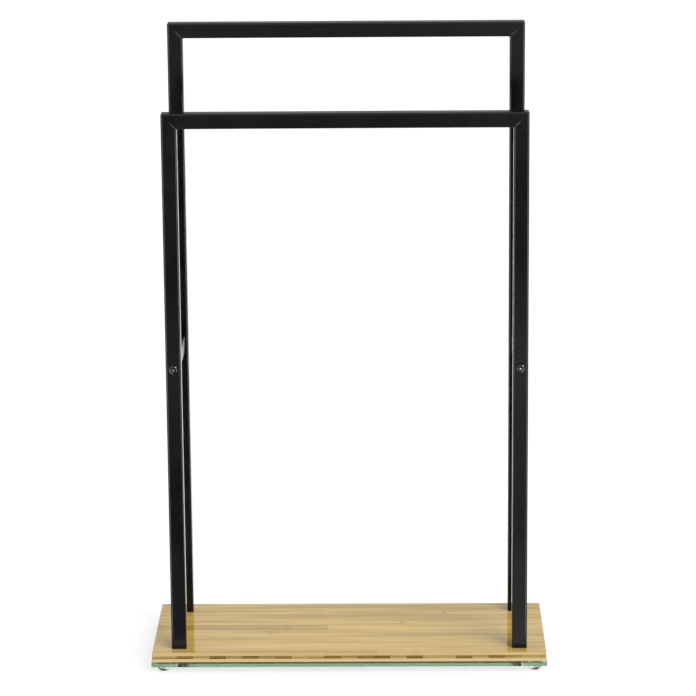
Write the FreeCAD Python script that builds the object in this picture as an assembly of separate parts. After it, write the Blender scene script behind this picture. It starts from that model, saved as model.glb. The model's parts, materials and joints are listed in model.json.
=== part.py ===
import FreeCAD, Part
import math
import os

# Freestanding towel stand: two welded portal frames of square tube, one behind the other and
# the rear one taller, tied at mid height by two spacer bars, standing on a bamboo board that
# rests on soft grommets just above a glass plate with four clear bumpers.
# Millimetres. The origin is the centre of the footprint on the floor, +Z is up, the lower
# frame faces -Y and +X is on the viewer's right.

Vector = FreeCAD.Vector
UP = Vector(0, 0, 1)
ORIGIN = Vector(0, 0, 0)

# Glass plate
glass_width = 500.0
glass_depth = 200.0
glass_thickness = 5.0
glass_corner_radius = 1.5
glass_arris = 0.4
glass_hole_diameter = 10.4

# Clear bumpers under the glass
bumper_diameter = 16.0
bumper_height = 8.5
bumper_rim_height = 2.2
bumper_flat_diameter = 8.0
bumper_inset = 15.0

# Bamboo board, a face ply above and below a core of crosswise strips. The core's strips are
# light (L) or dark (D) from left to right, and the first and the last are half as wide.
STRIP_TONES = "LLDLDLDLDLLDLDDLDLLDLDLLL"
board_margin = 1.0
board_corner_radius = 1.0
board_edge_radius = 0.7
top_ply_thickness = 4.2
core_thickness = 4.2
bottom_ply_thickness = 4.2
board_hole_diameter = 7.0

# Square tube of both frames
tube_size = 19.0
tube_wall = 1.5
tube_corner_radius = 2.0
mitre_outer_radius = 2.0
front_frame_height = 686.0
rear_frame_height = 776.0
leg_side_setback = 24.0
leg_end_setback = 15.0

# Spacer bars between the front and the rear legs
spacer_width = 12.0
spacer_height = 19.0
spacer_wall = 1.5
spacer_corner_radius = 1.6
spacer_centre_height = 365.0
insert_length = 14.0
insert_corner_radius = 0.5

# Threaded plugs in the bottom ends of the legs
plug_length = 14.0
plug_corner_radius = 0.8
plug_clearance = 0.1

# Side screws and base bolts
thread_diameter = 6.0
thread_clearance = 0.05
shank_clearance = 0.3
side_head_diameter = 12.4
side_head_height = 3.2
side_screw_engagement = 12.0
bolt_head_diameter = 11.0
bolt_head_height = 3.2
bolt_engagement = 11.0
head_rim_height = 0.7
head_flat_share = 0.45
socket_across_flats = 4.0
socket_depth = 2.0

# Washers and grommets on the base bolts. A grommet has a flange on each side of the glass, and
# the board rests on the upper ones, so their thickness is the gap between glass and board.
washer_diameter = 18.0
washer_thickness = 1.2
grommet_flange_diameter = 18.0
grommet_flange_thickness = 1.2
grommet_sleeve_clearance = 0.2

# Heights of the stacked layers above the floor
glass_bottom = bumper_height
glass_top = glass_bottom + glass_thickness
board_bottom = glass_top + grommet_flange_thickness
core_bottom = board_bottom + bottom_ply_thickness
core_top = core_bottom + core_thickness
board_top = core_top + top_ply_thickness
spacer_centre = board_top + spacer_centre_height

# Places that the pieces share
board_width = glass_width - 2 * board_margin
board_depth = glass_depth - 2 * board_margin
frame_width = board_width - 2 * leg_side_setback
leg_x = (frame_width - tube_size) / 2
leg_y = board_depth / 2 - leg_end_setback - tube_size / 2
bumper_x = glass_width / 2 - bumper_inset
bumper_y = glass_depth / 2 - bumper_inset
spacer_length = 2 * leg_y - tube_size
thread_bore_diameter = thread_diameter + 2 * thread_clearance
clearance_hole_diameter = thread_diameter + 2 * shank_clearance

SIDES = {"left": -1, "right": 1}
ENDS = {"front": -1, "rear": 1}
FRAME_HEIGHTS = {"front": front_frame_height, "rear": rear_frame_height}


def rounded_prism(width, depth, height, radius, bottom=0.0):
    """An upright bar centred on the Z axis, with rounded upright edges."""
    half_w = width / 2
    half_d = depth / 2
    bend = radius * (1 - math.sqrt(0.5))
    edges = []
    corners = [(1, -1), (1, 1), (-1, 1), (-1, -1)]
    starts = []
    ends = []
    for sx, sy in corners:
        beside = Vector(sx * half_w, sy * (half_d - radius), bottom)
        facing = Vector(sx * (half_w - radius), sy * half_d, bottom)
        turn = Vector(sx * (half_w - bend), sy * (half_d - bend), bottom)
        first, last = (facing, beside) if sx * sy < 0 else (beside, facing)
        edges.append(Part.Arc(first, turn, last).toShape())
        starts.append(first)
        ends.append(last)
    for index in range(4):
        following = starts[(index + 1) % 4]
        edges.append(Part.LineSegment(ends[index], following).toShape())
    outline = Part.Wire(Part.__sortEdges__(edges))
    return Part.Face(outline).extrude(Vector(0, 0, height))


def square_tube(width, depth, length, wall, radius):
    """A hollow upright bar from z = 0, open at both ends."""
    outside = rounded_prism(width, depth, length, radius)
    inner_radius = max(radius - wall, wall / 4)
    inside = rounded_prism(width - 2 * wall, depth - 2 * wall, length, inner_radius)
    return outside.cut(inside)


def cylinder(diameter, length, base, direction=UP):
    return Part.makeCylinder(diameter / 2, length, base, direction)


def prism_along_y(points, half_depth, y):
    """A solid with the outline given by (x, z) points, centred on y."""
    corners = [Vector(px, y - half_depth, pz) for px, pz in points]
    outline = Part.makePolygon(corners + corners[:1])
    return Part.Face(outline).extrude(Vector(0, 2 * half_depth, 0))


def laid_along_y(shape, x, y_start, z):
    """Turn an upright bar so that its bottom end faces -Y, and place it."""
    placed = shape.copy()
    placed.rotate(ORIGIN, Vector(1, 0, 0), -90)
    placed.translate(Vector(x, y_start, z))
    return placed


def mitre_wedge(side, end, keep_leg):
    """The waste on one side of the mitre between a leg and its towel bar."""
    margin = tube_size
    top = board_top + FRAME_HEIGHTS[end]
    outer = side * frame_width / 2
    inner = outer - side * tube_size
    high = (outer + side * margin, top + margin)
    low = (inner - side * margin, top - tube_size - margin)
    third = (low[0], high[1]) if keep_leg else (high[0], low[1])
    return prism_along_y([high, low, third], tube_size, ENDS[end] * leg_y)


def ground_corner(side, end):
    """The waste outside the rounded outer corner where a leg meets its towel bar."""
    radius = mitre_outer_radius
    top = board_top + FRAME_HEIGHTS[end]
    outer = side * frame_width / 2
    centre = Vector(outer - side * radius, ENDS[end] * leg_y - tube_size, top - radius)
    across = 2 * radius
    block = Part.makeBox(across, 2 * tube_size, across, centre - Vector(0 if side > 0 else across, 0, 0))
    return block.cut(cylinder(2 * radius, 2 * tube_size, centre, Vector(0, 1, 0)))


def leg(side, end):
    height = FRAME_HEIGHTS[end]
    x = side * leg_x
    y = ENDS[end] * leg_y
    shape = square_tube(tube_size, tube_size, height, tube_wall, tube_corner_radius)
    shape.translate(Vector(x, y, board_top))
    shape = shape.cut(mitre_wedge(side, end, keep_leg=True)).cut(ground_corner(side, end))
    hole_base = Vector(x, y - tube_size, spacer_centre)
    return shape.cut(cylinder(clearance_hole_diameter, 2 * tube_size, hole_base, Vector(0, 1, 0)))


def towel_bar(end):
    shape = square_tube(tube_size, tube_size, frame_width, tube_wall, tube_corner_radius)
    shape.rotate(ORIGIN, Vector(0, 1, 0), 90)
    centre_height = board_top + FRAME_HEIGHTS[end] - tube_size / 2
    shape.translate(Vector(-frame_width / 2, ENDS[end] * leg_y, centre_height))
    for side in SIDES.values():
        shape = shape.cut(mitre_wedge(side, end, keep_leg=False)).cut(ground_corner(side, end))
    return shape


def spacer(side):
    tube = square_tube(spacer_width, spacer_height, spacer_length, spacer_wall, spacer_corner_radius)
    return laid_along_y(tube, side * leg_x, -spacer_length / 2, spacer_centre)


def spacer_insert(side, end):
    """A threaded block in one end of a spacer bar, flush with that end."""
    inset = 2 * (spacer_wall + plug_clearance)
    block = rounded_prism(spacer_width - inset, spacer_height - inset, insert_length, insert_corner_radius)
    block = block.cut(cylinder(thread_bore_diameter, insert_length, ORIGIN))
    start = -spacer_length / 2 if end < 0 else spacer_length / 2 - insert_length
    return laid_along_y(block, side * leg_x, start, spacer_centre)


def foot_plug(side, end):
    """A threaded steel plug fixed in the bottom end of a leg."""
    size = tube_size - 2 * (tube_wall + plug_clearance)
    plug = rounded_prism(size, size, plug_length, plug_corner_radius)
    plug = plug.cut(cylinder(thread_bore_diameter, plug_length, ORIGIN))
    plug.translate(Vector(side * leg_x, end * leg_y, board_top))
    return plug


def button_screw(head_diameter, head_height, shank_length):
    """A domed screw that points up, its head's seat at z = 0, with a hexagon socket below."""
    rim = head_diameter / 2
    flat = rim * head_flat_share
    shoulder = Vector(rim, 0, -head_rim_height)
    crown = Vector(flat, 0, -head_height)
    dome = head_height - head_rim_height
    bulge = Vector(flat + (rim - flat) * math.sqrt(0.5), 0, -head_rim_height - dome * math.sqrt(0.5))
    seat = Vector(rim, 0, 0)
    tip = Vector(0, 0, -head_height)
    edges = [
        Part.LineSegment(ORIGIN, seat).toShape(),
        Part.LineSegment(seat, shoulder).toShape(),
        Part.Arc(shoulder, bulge, crown).toShape(),
        Part.LineSegment(crown, tip).toShape(),
        Part.LineSegment(tip, ORIGIN).toShape(),
    ]
    head = Part.Face(Part.Wire(edges)).revolve(ORIGIN, UP, 360)
    socket_radius = socket_across_flats / math.sqrt(3)
    corners = []
    for index in range(7):
        angle = math.radians(60 * index)
        corners.append(Vector(socket_radius * math.cos(angle), socket_radius * math.sin(angle), -head_height))
    socket = Part.Face(Part.makePolygon(corners)).extrude(Vector(0, 0, socket_depth))
    shank = cylinder(thread_diameter, shank_length, ORIGIN)
    return head.fuse(shank).cut(socket).removeSplitter()


def side_screw(side, end):
    """A screw through one leg into the spacer bar, its head on the leg's outward face."""
    screw = button_screw(side_head_diameter, side_head_height, tube_size + side_screw_engagement)
    screw.rotate(ORIGIN, Vector(1, 0, 0), 90 * end)
    screw.translate(Vector(side * leg_x, end * (leg_y + tube_size / 2), spacer_centre))
    return screw


def base_bolt(side, end):
    """A bolt from under the glass, through the board, into a foot plug."""
    seat = glass_bottom - grommet_flange_thickness - washer_thickness
    length = board_top - seat + bolt_engagement
    bolt = button_screw(bolt_head_diameter, bolt_head_height, length)
    bolt.translate(Vector(side * leg_x, end * leg_y, seat))
    return bolt


def base_washer(side, end):
    bottom = glass_bottom - grommet_flange_thickness - washer_thickness
    base = Vector(side * leg_x, end * leg_y, bottom)
    disc = cylinder(washer_diameter, washer_thickness, base)
    return disc.cut(cylinder(clearance_hole_diameter, washer_thickness, base))


def glass_grommet(side, end):
    """A soft sleeve through the glass with a flange below it and one above it."""
    bottom = glass_bottom - grommet_flange_thickness
    base = Vector(side * leg_x, end * leg_y, bottom)
    above = Vector(side * leg_x, end * leg_y, glass_top)
    sleeve_diameter = glass_hole_diameter - 2 * grommet_sleeve_clearance
    height = board_bottom - bottom
    shape = cylinder(sleeve_diameter, height, base)
    for flange_base in (base, above):
        shape = shape.fuse(cylinder(grommet_flange_diameter, grommet_flange_thickness, flange_base))
    return shape.cut(cylinder(clearance_hole_diameter, height, base)).removeSplitter()


def drilled(shape, diameter):
    """Cut the four base bolt holes right through a layer of the base."""
    for side in SIDES.values():
        for end in ENDS.values():
            base = Vector(side * leg_x, end * leg_y, 0)
            shape = shape.cut(cylinder(diameter, board_top + tube_size, base))
    return shape


def horizontal_edges_at(shape, height):
    return [edge for edge in shape.Edges if all(abs(v.Z - height) < 1e-6 for v in edge.Vertexes)]


def board_layer(bottom, thickness):
    return rounded_prism(board_width, board_depth, thickness, board_corner_radius, bottom)


def top_ply():
    shape = board_layer(core_top, top_ply_thickness)
    shape = shape.makeFillet(board_edge_radius, horizontal_edges_at(shape, board_top))
    return drilled(shape, board_hole_diameter)


def bottom_ply():
    shape = board_layer(board_bottom, bottom_ply_thickness)
    shape = shape.makeFillet(board_edge_radius, horizontal_edges_at(shape, board_bottom))
    return drilled(shape, board_hole_diameter)


def core_strips(tone):
    """The core's strips of one tone, cut to the board's outline."""
    pitch = board_width / (len(STRIP_TONES) - 1)
    outline = board_layer(core_bottom, core_thickness)
    strips = []
    for index, strip_tone in enumerate(STRIP_TONES):
        if strip_tone != tone:
            continue
        corner = Vector(-board_width / 2 + (index - 0.5) * pitch, -board_depth / 2, core_bottom)
        strip = Part.makeBox(pitch, board_depth, core_thickness, corner).common(outline)
        strips.append(drilled(strip, board_hole_diameter))
    return strips


def glass_plate():
    shape = rounded_prism(glass_width, glass_depth, glass_thickness, glass_corner_radius, glass_bottom)
    arrises = horizontal_edges_at(shape, glass_bottom) + horizontal_edges_at(shape, glass_top)
    return drilled(shape.makeChamfer(glass_arris, arrises), glass_hole_diameter)


def bumper(side, end):
    """A clear dome stuck under the glass, with a small flat that meets the floor."""
    rim = bumper_diameter / 2
    flat = bumper_flat_diameter / 2
    dome = bumper_height - bumper_rim_height
    touch = Vector(flat, 0, 0)
    bulge = Vector(flat + (rim - flat) * math.sqrt(0.5), 0, dome * (1 - math.sqrt(0.5)))
    shoulder = Vector(rim, 0, dome)
    seat = Vector(rim, 0, bumper_height)
    top = Vector(0, 0, bumper_height)
    edges = [
        Part.LineSegment(ORIGIN, touch).toShape(),
        Part.Arc(touch, bulge, shoulder).toShape(),
        Part.LineSegment(shoulder, seat).toShape(),
        Part.LineSegment(seat, top).toShape(),
        Part.LineSegment(top, ORIGIN).toShape(),
    ]
    shape = Part.Face(Part.Wire(edges)).revolve(ORIGIN, UP, 360)
    shape.translate(Vector(side * bumper_x, end * bumper_y, 0))
    return shape


def at_four_legs(make):
    return [make(side, end) for end in ENDS.values() for side in SIDES.values()]


def build():
    """Every node's name with its list of solids."""
    nodes = {}
    for end_name, end in ENDS.items():
        for side_name, side in SIDES.items():
            place = end_name + "_" + side_name
            nodes[place + "_leg"] = [leg(side, end_name)]
            nodes[place + "_foot_plug"] = [foot_plug(side, end)]
            nodes[place + "_bumper"] = [bumper(side, end)]
        nodes[end_name + "_towel_bar"] = [towel_bar(end_name)]
        nodes[end_name + "_side_screws"] = [side_screw(side, end) for side in SIDES.values()]
    for side_name, side in SIDES.items():
        nodes[side_name + "_spacer"] = [spacer(side)]
        nodes[side_name + "_spacer_inserts"] = [spacer_insert(side, end) for end in ENDS.values()]
    nodes["base_bolts"] = at_four_legs(base_bolt)
    nodes["base_washers"] = at_four_legs(base_washer)
    nodes["glass_grommets"] = at_four_legs(glass_grommet)
    nodes["board_top_ply"] = [top_ply()]
    nodes["board_core_dark_strips"] = core_strips("D")
    nodes["board_core_light_strips"] = core_strips("L")
    nodes["board_bottom_ply"] = [bottom_ply()]
    nodes["glass_plate"] = [glass_plate()]
    return nodes


os.makedirs("parts", exist_ok=True)
for name, shapes in build().items():
    solids = [solid for shape in shapes for solid in shape.Solids]
    whole = solids[0] if len(solids) == 1 else Part.makeCompound(solids)
    if len(solids) != len(shapes) or not whole.isValid():
        raise RuntimeError(name + " isn't the clean set of solids it should be")
    whole.exportStep("parts/" + name + ".step")
    print(name, len(solids), "solids", round(whole.Volume / 1000, 2), "cm3")
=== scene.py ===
import json
import math

import bmesh
import bpy
from mathutils import Matrix, Vector


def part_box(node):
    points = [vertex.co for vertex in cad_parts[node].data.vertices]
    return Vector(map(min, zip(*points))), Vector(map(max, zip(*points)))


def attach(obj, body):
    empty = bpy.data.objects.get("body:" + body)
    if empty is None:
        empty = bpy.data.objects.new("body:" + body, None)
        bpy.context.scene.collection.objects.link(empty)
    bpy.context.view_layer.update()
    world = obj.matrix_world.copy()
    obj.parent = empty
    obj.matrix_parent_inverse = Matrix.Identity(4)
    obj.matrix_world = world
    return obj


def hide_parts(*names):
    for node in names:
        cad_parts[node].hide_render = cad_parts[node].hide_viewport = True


# Freestanding towel stand on a bamboo and glass base. Lengths are metres in the frame of the CAD
# model, and angles are radians. A name that ends in NOISE holds a noise's scale, its detail and, where
# it has a third number, its roughness. One that ends in FADE holds where a change starts and ends.

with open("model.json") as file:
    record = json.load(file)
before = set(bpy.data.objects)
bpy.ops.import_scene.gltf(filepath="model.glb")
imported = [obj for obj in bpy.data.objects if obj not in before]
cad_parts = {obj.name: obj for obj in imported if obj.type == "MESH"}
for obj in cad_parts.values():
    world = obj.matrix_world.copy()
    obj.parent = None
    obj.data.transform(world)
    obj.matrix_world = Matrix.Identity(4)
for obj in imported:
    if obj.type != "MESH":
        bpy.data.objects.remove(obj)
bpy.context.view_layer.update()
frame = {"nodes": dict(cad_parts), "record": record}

WHITE = (1.0, 1.0, 1.0, 1.0)
BLACK = (0.0, 0.0, 0.0, 1.0)

# The range that most of a noise's values lie in
USUAL_FADE = (0.3, 0.7)

# Camera
IMAGE_SIZE = 696
SENSOR_WIDTH = 36.0
FOCAL_PIXELS = 3252.0
CLIP_END = 200.0
CAMERA_PLACE = Vector((0.0568, -3.9973, 1.3707))
CAMERA_YAW = -0.0141
CAMERA_PITCH = 0.2385
CAMERA_ROLL = 0.0080

# Lamps
KEY_FROM = Vector((0.85, -1.15, 1.15))
KEY_ANGLE = math.radians(40)
KEY_STRENGTH = 2.5
GLINT_FROM = Vector((0.61, -0.61, 0.50))
GLINT_ANGLE = math.radians(20)
GLINT_STRENGTH = 4.3
GLINT_MIRRORS = ("front_side_screws", "rear_side_screws")

# World: its brightness from front to back, and a soft box high in front
SKY_FADE = (-0.55, 0.35)
SKY_FRONT = 0.40
SKY_BACK = 0.88
SKY_DIFFUSE_SHARE = 0.86
BOX_FRONT_FADE = (-0.35, -0.25)
BOX_LOW_FADE = (0.30, 0.40)
BOX_HIGH_FADE = (0.80, 0.90)
BOX_GLOW = 1.6

# Floor: SEEN is what the camera sees; under the stand a painted shadow dims and warms the glow that
# reflections and the glass see
FLOOR_HALF_SIZE = 40.0
FLOOR_ROUGHNESS = 0.9
FLOOR_COLOUR = (0.66, 0.66, 0.66, 1.0)
FLOOR_COLOUR_SEEN = (0.30, 0.30, 0.30, 1.0)
FLOOR_LIFT = 0.42
FLOOR_LIFT_SEEN = 0.745
PAINTED_SHADOW_FADE = (-0.01, 0.03)
PAINTED_SHADOW_SHARE = 0.26
PAINTED_SHADOW_TINT = (1.0, 0.90, 0.62, 1.0)

# Cloths and cards on the floor
CLOTH_REACH = 9.0
CLOTH_GAP_X = 0.27
CLOTH_FRONT_Y = -0.19
CLOTH_Z = 0.001
CLOTH_NOISE = (2.4, 1.5)
CLOTH_GREYS = (0.5, 1.5)
LEAST_AWAY = 0.01
CARD_GLOW = 7.0
CARD_START_FADE = (0.10, 0.14)
CARD_INNER_FADE = (0.22, 0.32)
CARD_OUTER_FADE = (0.90, 1.15)
BESIDE_FADE = (0.25, 0.50)
BESIDE_GREYS = (0.50, 0.03)
AHEAD_GREY = 0.17
ACROSS_FADE = (-0.10, 0.10)
NEAR_FADE = (1.8, 2.3)
NEAR_GAIN = 2.25
CLOSE_FADE = (0.45, 0.80)
CLOSE_GAIN = 1.55
CLOSE_SHARE_LEFT = 0.4
GLEAM_AWAY = 1.50
GLEAM_FADE = (0.10, 0.35)
GLEAM_GAIN = 2.5
FAR_FADE = (4.25, 4.55)
FAR_ACROSS_FADE = (0.20, 0.42)
FAR_GAINS = (1.5, 4.9)

# Backdrop behind the stand
BACKDROP_Y = 1.6
BACKDROP_X = (-2.4, 2.4)
BACKDROP_Z = (0.78, 2.4)
BACKDROP_GLOW = 0.33
BACKDROP_NOISE = (3.0, 1.5)
BACKDROP_GREYS = (0.75, 1.25)

# Tube frames, as in the CAD
TUBE = 0.019
TUBE_RADIUS = 0.002
FRAME_HALF_WIDTH = 0.225
LEG_X = FRAME_HALF_WIDTH - TUBE / 2
LEG_Y = 0.0745
SCREW_Z = 0.3923

# Board and glass, as in the CAD
BOARD_WIDTH = 0.498
STRIP_PITCH = BOARD_WIDTH / 24
CORE_MIDDLE = 0.0210
GLASS_TOP = 0.0135
GLASS_BOTTOM = 0.0085
BASE_HALF_WIDTH = 0.25
BASE_HALF_DEPTH = 0.10
HAIRLINE = 0.00005

# Welds at the mitred corners
BEAD_RADIUS = 0.0022
BEAD_ROOT = 0.0005
BEAD_TURNS = [math.radians(degrees) for degrees in range(0, 91, 15)]
BEAD_EDGE_STEPS = 6
BEAD_EDGE_TURN = math.radians(75)
RIDGE_HALF_WIDTH = 0.0009
RIDGE_HEIGHT = 0.00032
RIDGE_ROOT = 0.0003
RIDGE_REACH = 0.45
RIDGE_STEPS = 8
RIDGE_TIP_SHARE = 0.25
RIDGE_CREST_SHARE = 0.5
DAB_RADIUS = 0.0012
DAB_SUBDIVISIONS = 3

# Powder coat, and the same over the welds, greyer there partly for a thinner coat and partly as a painted
# sheen: the range of its grey and of its roughness, and its specular level
COAT = ((0.0012, 0.0032), (0.12, 0.18), 0.32)
WELD_WITH_SHEEN = ((0.006, 0.016), (0.16, 0.26), 0.42)
SHADE_NOISE = (9.0, 3.0)
SMEAR_NOISE = (40.0, 3.0)
SMEAR_FADE = (0.2, 0.8)
PEEL_NOISE = (650.0, 2.0)
GRIT_NOISE = (2600.0, 1.0)
GRIT_SHARE = 0.35
PEEL_DEPTH = 0.00004

# Screws, with a highlight painted inside the sockets as a patch of bright bare steel
SCREW_DARK = (0.0020, 0.0020, 0.0022, 1.0)
SCREW_LIGHT = (0.0060, 0.0060, 0.0064, 1.0)
SCREW_NOISE = (900.0, 3.0)
SCREW_ROUGHNESS = (0.09, 0.15)
SCREW_SPECULAR = 0.45
SOCKET_HIGHLIGHT_STEEL = (0.62, 0.62, 0.60, 1.0)
SOCKET_HIGHLIGHT_SHARE = 0.9
SOCKET_HIGHLIGHT_FADE = (0.0006, 0.0019)
SOCKET_HIGHLIGHT_DROP = 0.0007

# Zinc-plated steel and rubber
ZINC_DARK = (0.42, 0.43, 0.44, 1.0)
ZINC_LIGHT = (0.62, 0.63, 0.64, 1.0)
ZINC_NOISE = (700.0, 4.0)
ZINC_ROUGHNESS = (0.26, 0.42)
RUBBER_DARK = (0.022, 0.024, 0.022, 1.0)
RUBBER_LIGHT = (0.045, 0.048, 0.045, 1.0)
RUBBER_NOISE = (500.0, 3.0)
RUBBER_ROUGHNESS = 0.62

# Bamboo: light and dark tones of the faces and of the core's strips
FACE_TONES = ((0.650, 0.458, 0.126, 1.0), (0.395, 0.245, 0.048, 1.0))
CORE_LIGHT_TONES = ((0.49, 0.355, 0.130, 1.0), (0.30, 0.185, 0.058, 1.0))
CORE_DARK_TONES = ((0.290, 0.180, 0.045, 1.0), (0.165, 0.088, 0.017, 1.0))
FACE_STRIP = 0.0205
FACE_TONE_SHARE = 0.34
FACE_COAT = 0.92
CORE_TONE_SHARE = 0.62
CORE_COAT = 0.35
WARM = (1.0, 0.94, 0.90, 1.0)
WARM_SHARE = 0.5
STRIP_LENGTH = 0.72
UPPER_STRIPS = 60.0
SHIFT_DRAW = 3.0
SHIFT_REACH = 4.0
HUE_DRAW = 140.0
TONE_AND_STREAK_SHARE = 0.80
STREAK_SCALES = (5.0, 85.0, 210.0)
STREAK_NOISE = (1.0, 2.0)
STREAK_FADE = (0.25, 0.75)
FIBRE_SCALES = (9.0, 520.0, 1100.0)
FIBRE_NOISE = (1.0, 3.0, 0.6)
FIBRE_FADE = (0.2, 0.8)
FIBRE_SHARE = 0.30
FIBRE_DEPTH = 0.00003
FIBRE_STRENGTH = 0.5
TONE_FADE = (0.15, 0.95)
BAMBOO_ROUGHNESS = (0.42, 0.55)
LACQUER_ROUGHNESS = 0.03
LACQUER_IOR = 1.5
SEAM_FADE = (0.480, 0.5)
SEAM_SHARE = 0.28
# Upright faces of the plies are paler: partly the sawn edges' own colour, partly a painted sheen of the
# lacquer
EDGE_FADE = (0.2, 0.8)
EDGE_AND_SHEEN_COLOUR = (0.72, 0.55, 0.26, 1.0)
EDGE_AND_SHEEN_SHARE_UPPER = 0.60
EDGE_AND_SHEEN_SHARE_LOWER = 0.90

# Bamboo's knuckles. Away from one is counted in pitches, and across a strip in widths.
KNUCKLE_PITCH = 0.31
KNUCKLE_DARKNESS = 0.55
KNUCKLE_COLOUR = (0.22, 0.125, 0.035, 1.0)
KNUCKLE_BOW = 0.006
WOBBLE = 0.012
WOBBLE_ACROSS = 60.0
WOBBLE_NOISE = (9.0, 2.0)
LINE_FADE = (0.0008, 0.0050)
ZONE_FADE = (0.0, 0.022)
ZONE_SHARE = 0.42
MIDDLE_FADE = (0.15, 0.50)
MIDDLE_SHARES = (1.0, 0.15)
STRENGTH_FADE = (0.2, 1.0)

# Glass and bumpers
GLASS_COLOUR = (0.985, 1.0, 0.99, 1.0)
GLASS_IOR = 1.52
GROUND_FADE = (0.2, 0.9)
GROUND_ROUGHNESS = 0.20
GLASS_TINT = (0.11, 0.46, 0.20, 1.0)
GLASS_TINT_DENSITY = 8.0
BUMPER_COLOUR = (0.93, 0.95, 0.94, 1.0)
BUMPER_IOR = 1.46
BUMPER_ROUGHNESS = 0.06
BUMPER_NOISE = (160.0, 2.0)
BUMPER_WAVE_DEPTH = 0.0004
BUMPER_WAVE_STRENGTH = 0.3

# Light paths, enough to leave the glass
MAX_BOUNCES = 24
GLASS_BOUNCES = 20


# ---------------------------------------------------------------- objects and meshes

def new_object(name, data):
    made = bpy.data.objects.new(name, data)
    bpy.context.scene.collection.objects.link(made)
    return made


def mesh_from(name, shape):
    mesh = bpy.data.meshes.new(name)
    shape.to_mesh(mesh)
    shape.free()
    return mesh


# ---------------------------------------------------------------- camera and lamps

def make_camera():
    data = bpy.data.cameras.new("camera")
    data.sensor_width = SENSOR_WIDTH
    data.lens = FOCAL_PIXELS * SENSOR_WIDTH / IMAGE_SIZE
    data.clip_end = CLIP_END
    camera = new_object("camera", data)
    forward = Vector((
        math.sin(CAMERA_YAW) * math.cos(CAMERA_PITCH),
        math.cos(CAMERA_YAW) * math.cos(CAMERA_PITCH),
        -math.sin(CAMERA_PITCH),
    ))
    level = Vector((math.cos(CAMERA_YAW), -math.sin(CAMERA_YAW), 0.0))
    down = forward.cross(level)
    right = math.cos(CAMERA_ROLL) * level + math.sin(CAMERA_ROLL) * down
    up = math.sin(CAMERA_ROLL) * level - math.cos(CAMERA_ROLL) * down
    turn = Matrix((right, up, -forward)).transposed()
    camera.matrix_world = Matrix.Translation(CAMERA_PLACE) @ turn.to_4x4()
    bpy.context.scene.camera = camera


def make_lamp(name, direction, angle, strength):
    """A distant lamp that shines from a direction."""
    data = bpy.data.lights.new(name, "SUN")
    data.angle = angle
    data.energy = strength
    lamp = new_object(name, data)
    lamp.rotation_euler = direction.to_track_quat("Z", "Y").to_euler()
    return lamp


def make_lamps():
    """A broad key that lights without being mirrored, and a small lamp that only the screws mirror."""
    key = make_lamp("key", KEY_FROM, KEY_ANGLE, KEY_STRENGTH)
    key.visible_glossy = False
    glint = make_lamp("glint", GLINT_FROM, GLINT_ANGLE, GLINT_STRENGTH)
    glint.visible_diffuse = False
    mirrors = bpy.data.collections.new("glint_mirrors")
    for node in GLINT_MIRRORS:
        mirrors.objects.link(frame["nodes"][node])
    glint.light_linking.receiver_collection = mirrors


# ---------------------------------------------------------------- short calls for shader nodes

def add(tree, kind, **settings):
    node = tree.nodes.new(kind)
    for name, value in settings.items():
        setattr(node, name, value)
    return node


def feed(tree, socket, value):
    """Link a socket, or set its value."""
    if isinstance(value, bpy.types.NodeSocket):
        tree.links.new(value, socket)
    else:
        socket.default_value = value


def calc(tree, operation, *values):
    node = add(tree, "ShaderNodeMath", operation=operation)
    for socket, value in zip(node.inputs, values):
        feed(tree, socket, value)
    return node.outputs[0]


def plus(tree, total, *others):
    for value in others:
        total = calc(tree, "ADD", total, value)
    return total


def minus(tree, first, second):
    return calc(tree, "SUBTRACT", first, second)


def times(tree, product, *others):
    for value in others:
        product = calc(tree, "MULTIPLY", product, value)
    return product


def size_of(tree, value):
    return calc(tree, "ABSOLUTE", value)


def greater(tree, first, second):
    return calc(tree, "MAXIMUM", first, second)


def fade(tree, value, limits, low=0.0, high=1.0):
    """Change smoothly from low to high as the value goes from one limit to the other."""
    node = add(tree, "ShaderNodeMapRange", interpolation_type="SMOOTHSTEP")
    for socket, number in zip(node.inputs, (value, *limits, low, high)):
        feed(tree, socket, number)
    return node.outputs[0]


def mix(tree, share, first, second):
    """The first value where the share is 0, the second where it is 1."""
    rest = minus(tree, 1.0, share)
    return plus(tree, times(tree, rest, first), times(tree, share, second))


def mix_colours(tree, share, first, second, kind="MIX"):
    node = add(tree, "ShaderNodeMix", data_type="RGBA", blend_type=kind)
    feed(tree, node.inputs["Factor"], share)
    feed(tree, node.inputs[6], first)
    feed(tree, node.inputs[7], second)
    return node.outputs[2]


def point(tree):
    """The point that is shaded, in metres."""
    return add(tree, "ShaderNodeTexCoord").outputs["Object"]


def split(tree, vector):
    """A vector's x, y and z."""
    node = add(tree, "ShaderNodeSeparateXYZ")
    feed(tree, node.inputs[0], vector)
    return node.outputs[0], node.outputs[1], node.outputs[2]


def join(tree, x, y, z):
    node = add(tree, "ShaderNodeCombineXYZ")
    for socket, value in zip(node.inputs, (x, y, z)):
        feed(tree, socket, value)
    return node.outputs[0]


def levelness(tree):
    """1 where a face is level, 0 where it is upright."""
    normal = add(tree, "ShaderNodeNewGeometry").outputs["Normal"]
    return size_of(tree, split(tree, normal)[2])


def noise(tree, vector, scale, detail, roughness=0.5):
    node = add(tree, "ShaderNodeTexNoise")
    feed(tree, node.inputs["Vector"], vector)
    node.inputs["Scale"].default_value = scale
    node.inputs["Detail"].default_value = detail
    node.inputs["Roughness"].default_value = roughness
    return node.outputs["Fac"]


def chance(tree, first, second):
    """A random number from 0 to 1 for each pair of numbers."""
    node = add(tree, "ShaderNodeTexWhiteNoise", noise_dimensions="2D")
    feed(tree, node.inputs["Vector"], join(tree, first, second, 0.0))
    return node.outputs["Value"]


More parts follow.
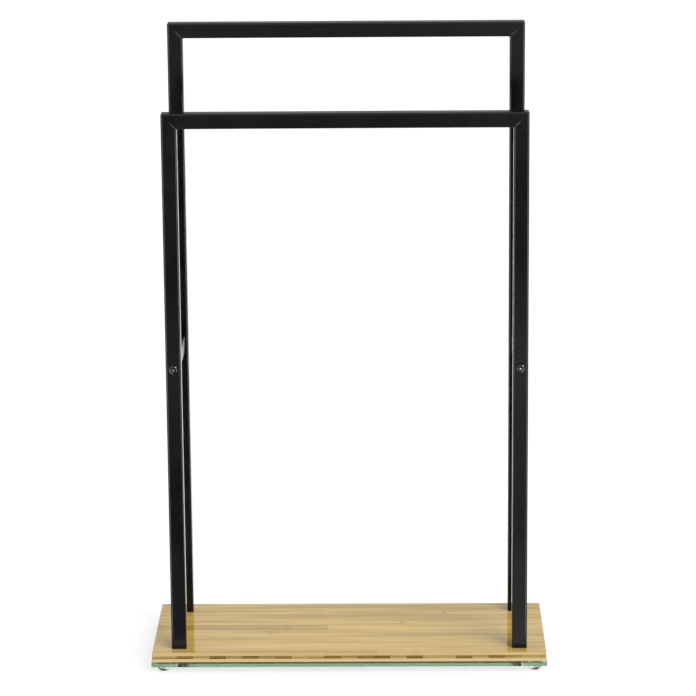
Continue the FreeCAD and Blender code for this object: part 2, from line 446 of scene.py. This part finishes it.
def bump(tree, height, distance, strength=1.0):
    node = add(tree, "ShaderNodeBump")
    node.inputs["Strength"].default_value = strength
    node.inputs["Distance"].default_value = distance
    feed(tree, node.inputs["Height"], height)
    return node.outputs["Normal"]


def new_material(name):
    material = bpy.data.materials.new(name)
    material.use_nodes = True
    tree = material.node_tree
    return material, tree, tree.nodes["Principled BSDF"]


def set_shader(tree, shader, **values):
    for name, value in values.items():
        feed(tree, shader.inputs[name.replace("_", " ")], value)


# ---------------------------------------------------------------- world and floor

def box_glow(tree, depth, rise):
    """A soft box high in front, seen only in reflections, that draws a line along rounded top edges."""
    in_front = fade(tree, depth, BOX_FRONT_FADE, 1.0, 0.0)
    above = fade(tree, rise, BOX_LOW_FADE)
    below = fade(tree, rise, BOX_HIGH_FADE, 1.0, 0.0)
    return times(tree, in_front, above, below, BOX_GLOW)


def make_world():
    """A white studio, dimmer on the viewer's side, that the camera sees as plain white."""
    world = bpy.data.worlds.new("studio")
    bpy.context.scene.world = world
    world.use_nodes = True
    tree = world.node_tree
    direction = add(tree, "ShaderNodeTexCoord").outputs["Generated"]
    depth, rise = split(tree, direction)[1:]
    path = add(tree, "ShaderNodeLightPath").outputs
    sky = fade(tree, depth, SKY_FADE, SKY_FRONT, SKY_BACK)
    mirrored = plus(tree, sky, box_glow(tree, depth, rise))
    strength = mix(tree, path["Is Glossy Ray"], times(tree, sky, SKY_DIFFUSE_SHARE), mirrored)
    plain = greater(tree, path["Is Camera Ray"], path["Is Transmission Ray"])
    background = tree.nodes["Background"]
    background.inputs["Color"].default_value = WHITE
    feed(tree, background.inputs["Strength"], greater(tree, strength, plain))


def make_floor():
    """A pale floor that keeps shadows. Under the stand a painted shadow makes its reflection, and what
    the glass shows of it, darker and warmer.
    """
    shape = bmesh.new()
    bmesh.ops.create_grid(shape, x_segments=1, y_segments=1, size=FLOOR_HALF_SIZE)
    mesh = mesh_from("floor", shape)
    floor = new_object("floor", mesh)
    material, tree, shader = new_material("floor")
    path = add(tree, "ShaderNodeLightPath").outputs
    seen = path["Is Camera Ray"]
    mirrored = greater(tree, path["Is Glossy Ray"], path["Is Transmission Ray"])
    x, y = split(tree, point(tree))[:2]
    beyond_x = minus(tree, size_of(tree, x), BASE_HALF_WIDTH)
    beyond_y = minus(tree, size_of(tree, y), BASE_HALF_DEPTH)
    # A painted shadow under the stand, because the glow seen in reflections and through the glass takes
    # no real shadow
    outside_painted_shadow = fade(tree, greater(tree, beyond_x, beyond_y), PAINTED_SHADOW_FADE, PAINTED_SHADOW_SHARE, 1.0)
    mirrored_lift = times(tree, mirrored, outside_painted_shadow, FLOOR_LIFT)
    lift = greater(tree, mirrored_lift, times(tree, seen, FLOOR_LIFT_SEEN))
    colour = mix_colours(tree, seen, FLOOR_COLOUR, FLOOR_COLOUR_SEEN)
    # The painted shadow is warmer as well as darker
    glow = mix_colours(tree, greater(tree, outside_painted_shadow, seen), PAINTED_SHADOW_TINT, WHITE)
    set_shader(tree, shader, Base_Color=colour, Roughness=FLOOR_ROUGHNESS, Specular_IOR_Level=0.0)
    set_shader(tree, shader, Emission_Color=glow, Emission_Strength=lift)
    mesh.materials.append(material)


# ---------------------------------------------------------------- panels that the tubes mirror

def stage_panel(name, corners, glow):
    """A panel of the brightness that glow(tree) gives, seen only in reflections. Corners run in pairs."""
    shape = bmesh.new()
    rows = [[shape.verts.new(corner) for corner in pair] for pair in corners]
    for first, second in zip(rows, rows[1:]):
        shape.faces.new((first[0], first[1], second[1], second[0]))
    mesh = mesh_from(name, shape)
    panel = new_object(name, mesh)
    material, tree, shader = new_material(name)
    set_shader(tree, shader, Base_Color=BLACK, Specular_IOR_Level=0.0)
    set_shader(tree, shader, Emission_Color=WHITE, Emission_Strength=glow(tree))
    mesh.materials.append(material)
    panel.visible_camera = False
    panel.visible_diffuse = False
    panel.visible_transmission = False
    panel.visible_volume_scatter = False
    panel.visible_shadow = False


def lay_cloth(name, x_range, y_range):
    """A rectangle of cloths and cards on the floor beside the stand."""
    corners = [[Vector((x, y, CLOTH_Z)) for y in y_range] for x in x_range]
    stage_panel(name, corners, cloth_glow)


def cloth_folds(tree, vector):
    """How much brighter or darker the cloth is from place to place."""
    return fade(tree, noise(tree, vector, *CLOTH_NOISE), USUAL_FADE, *CLOTH_GREYS)


def cloth_glow(tree):
    """By the angle at which a leg sees the floor: dim ahead, a pale card, dark, then grey beside."""
    vector = point(tree)
    x, y = split(tree, vector)[:2]
    aside = greater(tree, minus(tree, size_of(tree, x), LEG_X), 0.0)
    away = greater(tree, minus(tree, -LEG_Y, y), LEAST_AWAY)
    slope = calc(tree, "DIVIDE", aside, away)
    card = times(tree, fade(tree, slope, CARD_INNER_FADE), fade(tree, away, CARD_START_FADE))
    lit = mix(tree, card, ahead_glow(tree, x, away, vector), CARD_GLOW)
    sideways = calc(tree, "DIVIDE", size_of(tree, y), greater(tree, aside, LEAST_AWAY))
    beside = times(tree, fade(tree, sideways, BESIDE_FADE, *BESIDE_GREYS), cloth_folds(tree, vector))
    return mix(tree, fade(tree, slope, CARD_OUTER_FADE), lit, beside)


def ahead_glow(tree, x, away, vector):
    """The dim cloth in front of the stand: paler on the right and close by, with a gleam across it."""
    near = times(tree, fade(tree, x, ACROSS_FADE), fade(tree, away, NEAR_FADE, NEAR_GAIN, 0.0))
    close_share = fade(tree, x, ACROSS_FADE, CLOSE_SHARE_LEFT, 1.0)
    close = times(tree, close_share, fade(tree, away, CLOSE_FADE, CLOSE_GAIN, 0.0))
    from_gleam = size_of(tree, minus(tree, away, GLEAM_AWAY))
    gleam = fade(tree, from_gleam, GLEAM_FADE, GLEAM_GAIN, 0.0)
    far = times(tree, fade(tree, away, FAR_FADE), fade(tree, x, FAR_ACROSS_FADE, *FAR_GAINS))
    gain = plus(tree, near, gleam, close, far, 1.0)
    return times(tree, gain, cloth_folds(tree, vector), AHEAD_GREY)


def backdrop_glow(tree):
    """A dim grey with soft folds."""
    folds = fade(tree, noise(tree, point(tree), *BACKDROP_NOISE), USUAL_FADE, *BACKDROP_GREYS)
    return times(tree, folds, BACKDROP_GLOW)


def hang_panels():
    """What the tubes mirror: dark cloths give them dark faces, pale cards a thin light line."""
    lay_cloth("front_cloth", (-CLOTH_REACH, CLOTH_REACH), (-CLOTH_REACH, CLOTH_FRONT_Y))
    lay_cloth("left_cloth", (-CLOTH_REACH, -CLOTH_GAP_X), (CLOTH_FRONT_Y, CLOTH_REACH))
    lay_cloth("right_cloth", (CLOTH_GAP_X, CLOTH_REACH), (CLOTH_FRONT_Y, CLOTH_REACH))
    corners = [[Vector((x, BACKDROP_Y, z)) for z in BACKDROP_Z] for x in BACKDROP_X]
    stage_panel("backdrop_panel", corners, backdrop_glow)


# ---------------------------------------------------------------- metal and rubber

def black_coat(name, greys, roughnesses, specular):
    """Black semi-gloss powder coat with a faint orange peel."""
    material, tree, shader = new_material(name)
    vector = point(tree)
    shade = fade(tree, noise(tree, vector, *SHADE_NOISE), USUAL_FADE)
    darker, lighter = [(grey, grey, grey, 1.0) for grey in greys]
    colour = mix_colours(tree, shade, darker, lighter)
    grit = times(tree, noise(tree, vector, *GRIT_NOISE), GRIT_SHARE)
    height = plus(tree, noise(tree, vector, *PEEL_NOISE), grit)
    roughness = fade(tree, noise(tree, vector, *SMEAR_NOISE), SMEAR_FADE, *roughnesses)
    set_shader(tree, shader, Base_Color=colour, Roughness=roughness, Specular_IOR_Level=specular)
    set_shader(tree, shader, Normal=bump(tree, height, PEEL_DEPTH))
    return material


def powder_coat():
    return black_coat("black_powder_coat", *COAT)


def weld_coat_with_sheen():
    """The same coat over a ground weld, rougher, and greyer partly for a thinner coat and partly as a
    painted sheen of the light the weld catches.
    """
    return black_coat("weld_coat_with_sheen", *WELD_WITH_SHEEN)


def black_screw():
    """Black oxide steel of the button-head screws, with a highlight painted inside the sockets as a patch
    of bright bare steel.
    """
    material, tree, shader = new_material("black_screw")
    vector = point(tree)
    x, _, z = split(tree, vector)
    worn = noise(tree, vector, *SCREW_NOISE)
    colour = mix_colours(tree, worn, SCREW_DARK, SCREW_LIGHT)
    # A painted highlight: bright bare steel round a point a little below the screw's middle
    across = minus(tree, size_of(tree, x), LEG_X)
    above = minus(tree, z, SCREW_Z - SOCKET_HIGHLIGHT_DROP)
    distance = calc(tree, "SQRT", plus(tree, times(tree, across, across), times(tree, above, above)))
    socket_highlight = fade(tree, distance, SOCKET_HIGHLIGHT_FADE, SOCKET_HIGHLIGHT_SHARE, 0.0)
    colour = mix_colours(tree, socket_highlight, colour, SOCKET_HIGHLIGHT_STEEL)
    roughness = fade(tree, worn, USUAL_FADE, *SCREW_ROUGHNESS)
    set_shader(tree, shader, Base_Color=colour, Metallic=socket_highlight, Roughness=roughness)
    set_shader(tree, shader, Specular_IOR_Level=SCREW_SPECULAR)
    return material


def zinc_steel():
    """Zinc-plated steel with a fine spangle."""
    material, tree, shader = new_material("zinc_steel")
    spangle = noise(tree, point(tree), *ZINC_NOISE)
    colour = mix_colours(tree, spangle, ZINC_DARK, ZINC_LIGHT)
    roughness = fade(tree, spangle, USUAL_FADE, *ZINC_ROUGHNESS)
    set_shader(tree, shader, Base_Color=colour, Metallic=1.0, Roughness=roughness)
    return material


def soft_grommet():
    """Matte black rubber with a faint mottle."""
    material, tree, shader = new_material("soft_grommet")
    mottle = noise(tree, point(tree), *RUBBER_NOISE)
    colour = mix_colours(tree, mottle, RUBBER_DARK, RUBBER_LIGHT)
    set_shader(tree, shader, Base_Color=colour, Roughness=RUBBER_ROUGHNESS)
    return material


# ---------------------------------------------------------------- bamboo

def stretched(tree, place, scales):
    """A place with its x, y and z each multiplied."""
    return join(tree, *[times(tree, value, scale) for value, scale in zip(place, scales)])


def strip_at(tree, across, width, upper):
    """The number of the strip that a point is in, and how far it is from its middle, in widths."""
    rows = plus(tree, calc(tree, "DIVIDE", across, width), 0.5)
    number = plus(tree, calc(tree, "FLOOR", rows), times(tree, upper, UPPER_STRIPS))
    return number, minus(tree, calc(tree, "FRACT", rows), 0.5)


def knuckles(tree, along, across, inside, shift):
    """How dark the culm's nodes make a strip: a thin curved line and a soft zone, about every 0.3 m."""
    wobble = noise(tree, join(tree, along, times(tree, across, WOBBLE_ACROSS), 0.0), *WOBBLE_NOISE)
    bow = times(tree, inside, inside, KNUCKLE_BOW)
    moved = plus(tree, along, shift, bow, times(tree, wobble, WOBBLE))
    turns = calc(tree, "DIVIDE", moved, KNUCKLE_PITCH)
    away = size_of(tree, minus(tree, calc(tree, "FRACT", turns), 0.5))
    line = fade(tree, away, LINE_FADE, 1.0, 0.0)
    zone = fade(tree, away, ZONE_FADE, ZONE_SHARE, 0.0)
    middle = fade(tree, size_of(tree, inside), MIDDLE_FADE, *MIDDLE_SHARES)
    strength = fade(tree, chance(tree, calc(tree, "FLOOR", turns), shift), STRENGTH_FADE)
    return times(tree, greater(tree, line, zone), middle, strength, KNUCKLE_DARKNESS)


def paler_edges_and_sheen(tree, upper):
    """How much paler the upright faces are, partly the sawn edges' own colour and partly a painted sheen
    of the lacquer: most on the lower ply, none on the level faces.
    """
    upright = fade(tree, levelness(tree), EDGE_FADE, 1.0, 0.0)
    return times(tree, upright, mix(tree, upper, EDGE_AND_SHEEN_SHARE_LOWER, EDGE_AND_SHEEN_SHARE_UPPER))


def tone_of_strip(tree, strip, part, streaks, fine, tone_share):
    """How light a point is, from 0 to 1, by its strip, its streaks and its fibres."""
    tone = times(tree, chance(tree, strip, part), tone_share)
    streak = times(tree, fade(tree, streaks, STREAK_FADE), TONE_AND_STREAK_SHARE - tone_share)
    return fade(tree, plus(tree, tone, streak, times(tree, fine, FIBRE_SHARE)), TONE_FADE)


def bamboo_colour(tree, tones, strip_width, tone_share, face):
    """The colour of bamboo in strips, and how its fine fibres rise and fall, from 0 to 1."""
    light, dark = tones
    x, y, z = split(tree, point(tree))
    along, across = (x, y) if face else (y, x)
    upper = calc(tree, "GREATER_THAN", z, CORE_MIDDLE)
    strip, inside = strip_at(tree, across, strip_width, upper)
    shift = times(tree, chance(tree, strip, SHIFT_DRAW), SHIFT_REACH)
    moved = plus(tree, along, shift)
    part = calc(tree, "FLOOR", calc(tree, "DIVIDE", moved, STRIP_LENGTH))
    streaks = noise(tree, stretched(tree, (moved, across, z), STREAK_SCALES), *STREAK_NOISE)
    fine = noise(tree, stretched(tree, (moved, across, z), FIBRE_SCALES), *FIBRE_NOISE)
    lightness = tone_of_strip(tree, strip, part, streaks, fine, tone_share)
    colour = mix_colours(tree, lightness, dark, light)
    warmth = times(tree, chance(tree, plus(tree, strip, HUE_DRAW), part), WARM_SHARE)
    colour = mix_colours(tree, warmth, colour, WARM, "MULTIPLY")
    colour = mix_colours(tree, knuckles(tree, along, across, inside, shift), colour, KNUCKLE_COLOUR)
    seam = fade(tree, size_of(tree, inside), SEAM_FADE, 0.0, SEAM_SHARE)
    colour = mix_colours(tree, seam, colour, dark)
    # Upright faces painted paler: partly the sawn edges' own colour, partly a painted sheen
    if face:
        colour = mix_colours(tree, paler_edges_and_sheen(tree, upper), colour, EDGE_AND_SHEEN_COLOUR)
    return colour, fine


def bamboo(name, tones, strip_width, tone_share, coat, face):
    """Lacquered bamboo in strips, each with its own tone, streaks, fibres and knuckles."""
    material, tree, shader = new_material(name)
    colour, fine = bamboo_colour(tree, tones, strip_width, tone_share, face)
    roughness = fade(tree, fine, FIBRE_FADE, *BAMBOO_ROUGHNESS)
    set_shader(tree, shader, Base_Color=colour, Roughness=roughness, Specular_IOR_Level=0.0)
    set_shader(tree, shader, Coat_Weight=coat, Coat_Roughness=LACQUER_ROUGHNESS, Coat_IOR=LACQUER_IOR)
    set_shader(tree, shader, Normal=bump(tree, fine, FIBRE_DEPTH, FIBRE_STRENGTH))
    return material


# ---------------------------------------------------------------- glass and bumpers

def base_glass():
    """Green-tinted float glass with ground edges."""
    material, tree, shader = new_material("base_glass")
    ground = fade(tree, levelness(tree), GROUND_FADE, GROUND_ROUGHNESS, 0.0)
    set_shader(tree, shader, Base_Color=GLASS_COLOUR, Roughness=ground)
    set_shader(tree, shader, IOR=GLASS_IOR, Transmission_Weight=1.0)
    tint = add(tree, "ShaderNodeVolumeAbsorption")
    tint.inputs["Color"].default_value = GLASS_TINT
    tint.inputs["Density"].default_value = GLASS_TINT_DENSITY
    feed(tree, tree.nodes["Material Output"].inputs["Volume"], tint.outputs[0])
    return material


def clear_bumper():
    """Clear soft plastic with a slightly uneven skin."""
    material, tree, shader = new_material("clear_bumper")
    wave = noise(tree, point(tree), *BUMPER_NOISE)
    set_shader(tree, shader, Base_Color=BUMPER_COLOUR, Roughness=BUMPER_ROUGHNESS)
    set_shader(tree, shader, IOR=BUMPER_IOR, Transmission_Weight=1.0)
    set_shader(tree, shader, Normal=bump(tree, wave, BUMPER_WAVE_DEPTH, BUMPER_WAVE_STRENGTH))
    return material


def make_materials():
    return {
        "black_powder_coat": powder_coat(),
        "black_screw": black_screw(),
        "zinc_steel": zinc_steel(),
        "soft_grommet": soft_grommet(),
        "base_glass": base_glass(),
        "clear_bumper": clear_bumper(),
        "bamboo_face": bamboo("bamboo_face", FACE_TONES, FACE_STRIP, FACE_TONE_SHARE, FACE_COAT, True),
        "bamboo_core_light": bamboo(
            "bamboo_core_light", CORE_LIGHT_TONES, STRIP_PITCH, CORE_TONE_SHARE, CORE_COAT, False),
        "bamboo_core_dark": bamboo(
            "bamboo_core_dark", CORE_DARK_TONES, STRIP_PITCH, CORE_TONE_SHARE, CORE_COAT, False),
    }


def dress_nodes(materials):
    for item in frame["record"]["subparts"]:
        node = frame["nodes"][item["node"]]
        node.material_slots[0].material = materials[item["material_slot"]]


# ---------------------------------------------------------------- added pieces

def loft(shape, rings):
    """Skin closed rings of points into a solid with flat ends."""
    made = [[shape.verts.new(corner) for corner in ring] for ring in rings]
    count = len(made[0])
    for near, far in zip(made, made[1:]):
        for index in range(count):
            following = (index + 1) % count
            shape.faces.new((near[index], near[following], far[following], far[index]))
    shape.faces.new(list(reversed(made[0])))
    shape.faces.new(made[-1])


def bead_ring(corner_x, corner_z, y, side):
    """The outline of a concave bead in the inner corner at one depth."""
    points = [(corner_x + side * BEAD_ROOT, corner_z + BEAD_ROOT)]
    points.append((corner_x + side * BEAD_ROOT, corner_z - BEAD_RADIUS))
    for turn in BEAD_TURNS:
        across = BEAD_RADIUS * (1 - math.cos(turn))
        below = BEAD_RADIUS * (1 - math.sin(turn))
        points.append((corner_x - side * across, corner_z - below))
    points.append((corner_x - side * BEAD_RADIUS, corner_z + BEAD_ROOT))
    return [Vector((x, y, z)) for x, z in points]


def inner_bead(shape, side, y_centre, top):
    """A weld bead along the inner corner that follows the tubes' rounded edges."""
    flat = TUBE / 2 - TUBE_RADIUS
    last = BEAD_EDGE_STEPS + 1
    rings = []
    for step in range(-last, last + 1):
        turn = BEAD_EDGE_TURN * (max(0, abs(step) - 1) / BEAD_EDGE_STEPS)
        reach = flat + TUBE_RADIUS * math.sin(turn)
        offset = math.copysign(reach, step) if step else 0.0
        sink = TUBE_RADIUS * (1 - math.cos(turn))
        corner_x = side * (FRAME_HALF_WIDTH - TUBE + sink)
        rings.append(bead_ring(corner_x, top - TUBE + sink, y_centre + offset, side))
    loft(shape, rings)


def face_ridge(shape, side, y_face, outward, top):
    """A ground-down weld line on a face, from the inner corner towards the outer one."""
    along = Vector((side, 0.0, 1.0)).normalized()
    across = Vector((side, 0.0, -1.0)).normalized()
    out = Vector((0.0, outward, 0.0))
    inner = TUBE_RADIUS - TUBE
    start = Vector((side * (FRAME_HALF_WIDTH + inner), y_face, top + inner))
    length = (TUBE - 2 * TUBE_RADIUS) * math.sqrt(2) * RIDGE_REACH
    rings = []
    for step in range(RIDGE_STEPS + 1):
        share = step / RIDGE_STEPS
        taper = math.sqrt(1 - share * share)
        half = across * RIDGE_HALF_WIDTH * (RIDGE_TIP_SHARE + (1 - RIDGE_TIP_SHARE) * taper)
        crest = out * RIDGE_HEIGHT * taper
        centre = start + along * (length * share)
        crest_half = half * RIDGE_CREST_SHARE
        rings.append([centre + half, centre + crest_half + crest, centre - crest_half + crest,
                      centre - half, centre - out * RIDGE_ROOT])
    loft(shape, rings)


def corner_dab(shape, side, y_face, outward, top):
    """What grinding leaves of the weld on an outer corner: a low dab within the tubes' outline."""
    centre = Vector((
        side * (FRAME_HALF_WIDTH - DAB_RADIUS),
        y_face - outward * DAB_RADIUS,
        top - DAB_RADIUS,
    ))
    place = Matrix.Translation(centre)
    bmesh.ops.create_icosphere(shape, subdivisions=DAB_SUBDIVISIONS, radius=DAB_RADIUS, matrix=place)


def add_weld(name, side, end, top, material):
    shape = bmesh.new()
    inner_bead(shape, side, end * LEG_Y, top)
    for outward in (-1, 1):
        y_face = end * LEG_Y + outward * TUBE / 2
        face_ridge(shape, side, y_face, outward, top)
        corner_dab(shape, side, y_face, outward, top)
    bmesh.ops.recalc_face_normals(shape, faces=shape.faces)
    mesh = mesh_from(name, shape)
    mesh.materials.append(material)
    mesh.shade_smooth()
    weld = new_object(name, mesh)
    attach(weld, "root")


def add_welds(material):
    tops = {"front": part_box("front_towel_bar")[1].z, "rear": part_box("rear_towel_bar")[1].z}
    for end_name, end in (("front", -1), ("rear", 1)):
        for side_name, side in (("left", -1), ("right", 1)):
            name = end_name + "_" + side_name + "_mitre_weld"
            add_weld(name, side, end, tops[end_name], material)


def add_glass():
    """The glass plate with a hairline of air above and below it, so that light stays in it."""
    source = frame["nodes"]["glass_plate"]
    mesh = source.data.copy()
    for vertex in mesh.vertices:
        vertex.co.z = min(max(vertex.co.z, GLASS_BOTTOM + HAIRLINE), GLASS_TOP - HAIRLINE)
    plate = new_object("glass_plate_clear", mesh)
    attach(plate, "root")
    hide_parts("glass_plate")


make_camera()
make_lamps()
make_world()
make_floor()
hang_panels()
dress_nodes(make_materials())
add_welds(weld_coat_with_sheen())
add_glass()
bpy.context.scene.view_settings.view_transform = "Standard"
bpy.context.scene.cycles.max_bounces = MAX_BOUNCES
bpy.context.scene.cycles.glossy_bounces = GLASS_BOUNCES
bpy.context.scene.cycles.transmission_bounces = GLASS_BOUNCES
